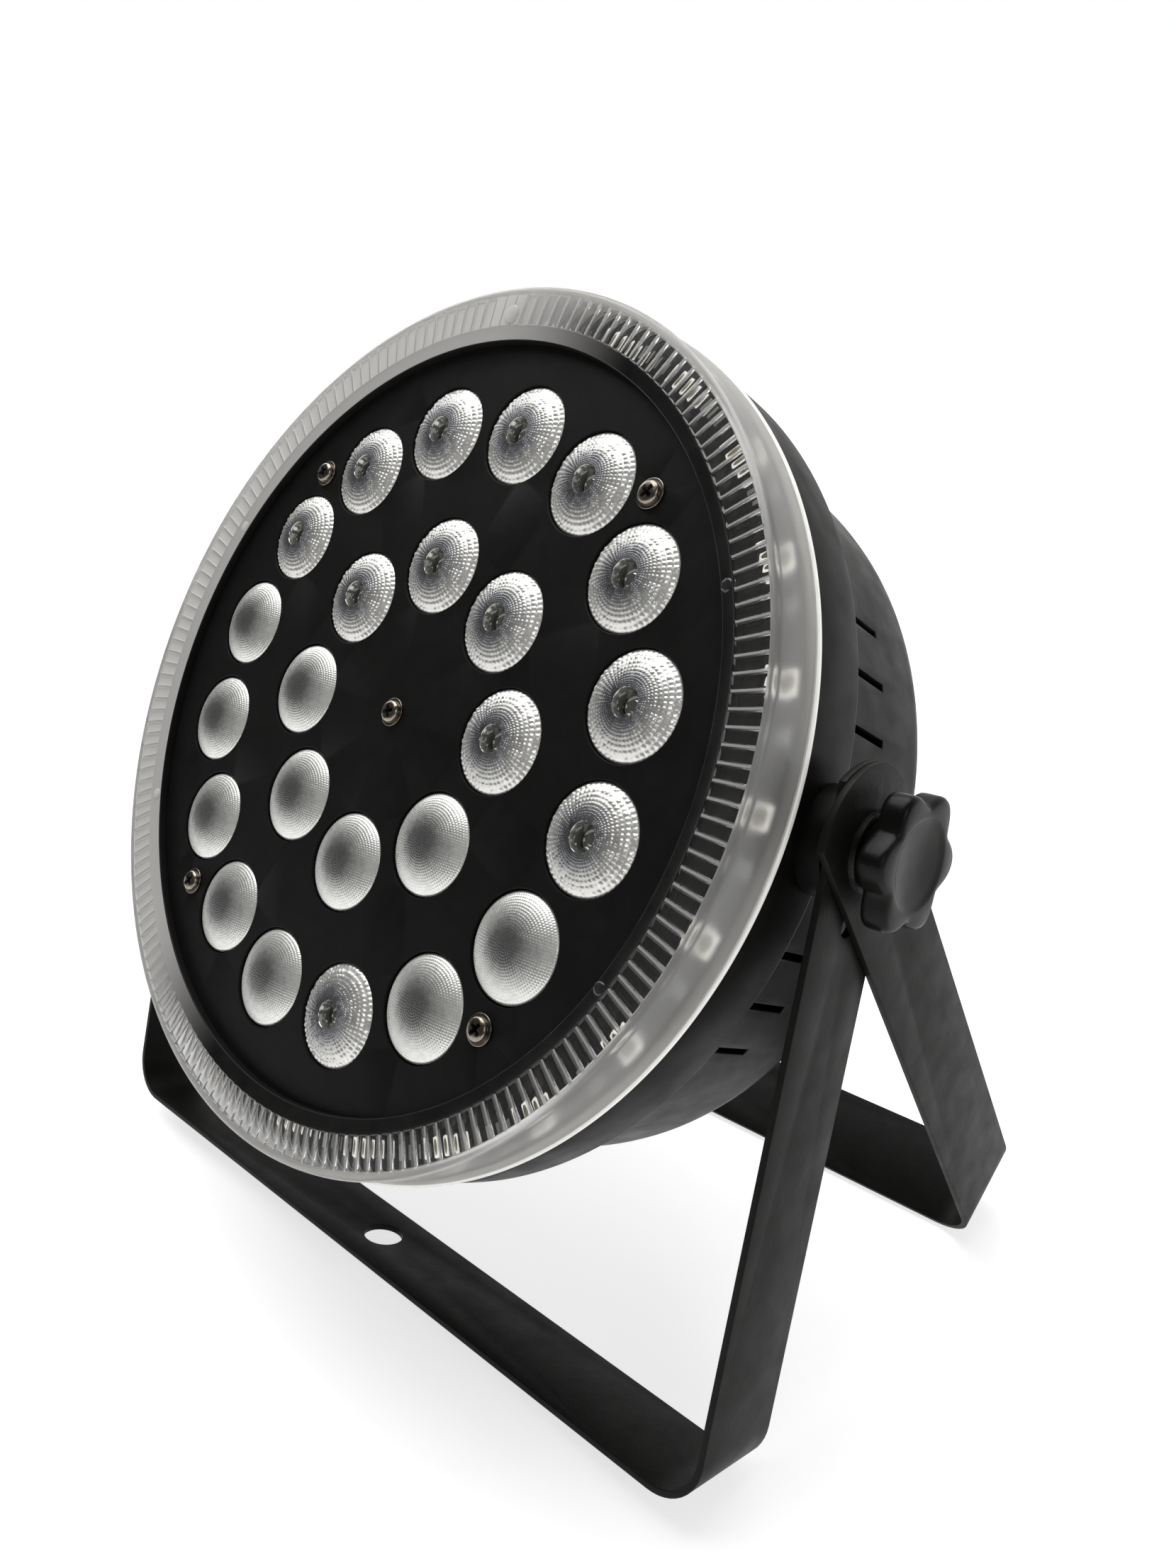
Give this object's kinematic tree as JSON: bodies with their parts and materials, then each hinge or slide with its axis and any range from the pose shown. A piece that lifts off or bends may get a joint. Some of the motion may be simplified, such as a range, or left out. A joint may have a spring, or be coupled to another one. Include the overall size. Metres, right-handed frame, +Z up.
{
  "type": "par can light",
  "caption": "Round LED stage wash light with bead lenses, a clear ribbed halo ring, a vented black housing and two hinged yokes locked by star knobs.",
  "frame": {"origin": "on the floor under the middle of the light as it stands on its spread yokes", "axes": "+Z up, the lamp's face looks towards -Y and upwards, X along the pivot axis"},
  "size_m": [0.2472, 0.1806, 0.2341],
  "materials": {
    "black_plate": "satin",
    "nickel_screws": "satin",
    "brass_spacers": "satin",
    "bead_lens": "gloss",
    "black_plastic": "matte",
    "white_board": "satin",
    "led_emitter": "gloss",
    "bare_aluminium": "satin",
    "clear_ring": "gloss",
    "black_board": "satin",
    "led_package": "gloss",
    "black_paint": "satin",
    "black_screws": "satin",
    "black_rubber": "matte",
    "black_powder_coat": "satin",
    "knob_plastic": "satin",
    "green_board": "satin",
    "component_black": "matte",
    "display_red": "gloss",
    "display_glass": "gloss",
    "button_grey": "satin",
    "socket_plastic": "satin",
    "socket_metal": "satin"
  },
  "bodies": {
    "head": {"front_plate": "black_plate", "face_screws": "nickel_screws", "face_washers": "nickel_screws", "plate_spacers": "brass_spacers", "outer_lenses": "bead_lens", "inner_lenses": "bead_lens", "outer_lens_holders": "black_plastic", "inner_lens_holders": "black_plastic", "led_board": "white_board", "led_emitters": "led_emitter", "heatsink": "bare_aluminium", "halo_ring": "clear_ring", "halo_board": "black_board", "halo_leds": "led_package", "front_bezel": "black_paint", "bezel_screws": "black_screws", "rear_housing": "black_paint", "rear_panel": "black_paint", "rear_panel_screws": "black_screws", "left_pivot_boss": "black_paint", "right_pivot_boss": "black_paint", "left_friction_washer": "black_rubber", "right_friction_washer": "black_rubber", "fan_frame": "black_plastic", "fan_screws": "nickel_screws", "power_supply_board": "green_board", "power_supply_parts": "component_black", "driver_board": "green_board", "driver_parts": "component_black", "board_standoffs": "brass_spacers", "board_screws": "nickel_screws", "control_board": "green_board", "control_standoffs": "brass_spacers", "control_screws": "nickel_screws", "tact_switches": "component_black", "display_module": "display_red", "display_window": "display_glass", "power_inlet": "socket_plastic", "power_outlet": "socket_plastic", "fuse_holder": "socket_plastic", "dmx_input": "socket_metal", "dmx_output": "socket_metal", "safety_bracket": "black_powder_coat", "safety_screw": "black_screws"},
    "front_yoke": {"front_yoke": "black_powder_coat"},
    "rear_yoke": {"rear_yoke": "black_powder_coat", "left_knob_washer": "nickel_screws", "right_knob_washer": "nickel_screws"},
    "left_knob": {"left_knob": "knob_plastic", "left_knob_stud": "nickel_screws"},
    "right_knob": {"right_knob": "knob_plastic", "right_knob_stud": "nickel_screws"},
    "fan": {"fan_rotor": "black_plastic"},
    "menu_button": {"menu_button": "button_grey"},
    "up_button": {"up_button": "button_grey"},
    "down_button": {"down_button": "button_grey"},
    "enter_button": {"enter_button": "button_grey"},
    "fuse_cap": {"fuse_cap": "socket_plastic"},
    "dmx_latch": {"dmx_latch": "nickel_screws"}
  },
  "joints": [
    {"name": "front_yoke_tilt", "type": "hinge", "parent": "head", "child": "front_yoke", "pos_m": [0, -0.0133, 0.1295], "axis": [1, 0, 0], "range_deg": [-170, 170]},
    {"name": "rear_yoke_tilt", "type": "hinge", "parent": "head", "child": "rear_yoke", "pos_m": [0, -0.0133, 0.1295], "axis": [1, 0, 0], "range_deg": [-170, 170]},
    {"name": "left_knob_turn", "type": "hinge", "parent": "head", "child": "left_knob", "pos_m": [0, -0.0133, 0.1295], "axis": [-1, 0, 0], "range_deg": [0, 360]},
    {"name": "right_knob_turn", "type": "hinge", "parent": "head", "child": "right_knob", "pos_m": [0, -0.0133, 0.1295], "axis": [1, 0, 0], "range_deg": [0, 360]},
    {"name": "fan_spin", "type": "hinge", "parent": "head", "child": "fan", "pos_m": [0, 0.00142, 0.121], "axis": [0, -0.866, 0.5], "continuous": true},
    {"name": "menu_button_press", "type": "slide", "parent": "head", "child": "menu_button", "axis": [0, -0.866, 0.5], "range_m": [0, 0.0008], "stiffness_N_per_m": 400},
    {"name": "up_button_press", "type": "slide", "parent": "head", "child": "up_button", "axis": [0, -0.866, 0.5], "range_m": [0, 0.0008], "stiffness_N_per_m": 400},
    {"name": "down_button_press", "type": "slide", "parent": "head", "child": "down_button", "axis": [0, -0.866, 0.5], "range_m": [0, 0.0008], "stiffness_N_per_m": 400},
    {"name": "enter_button_press", "type": "slide", "parent": "head", "child": "enter_button", "axis": [0, -0.866, 0.5], "range_m": [0, 0.0008], "stiffness_N_per_m": 400},
    {"name": "fuse_cap_turn", "type": "hinge", "parent": "head", "child": "fuse_cap", "pos_m": [0, 0.00799, 0.05717], "axis": [0, 0.866, -0.5], "range_deg": [0, 60]},
    {"name": "dmx_latch_press", "type": "slide", "parent": "head", "child": "dmx_latch", "axis": [0, -0.866, 0.5], "range_m": [0, 0.0009], "stiffness_N_per_m": 400}
  ]
}
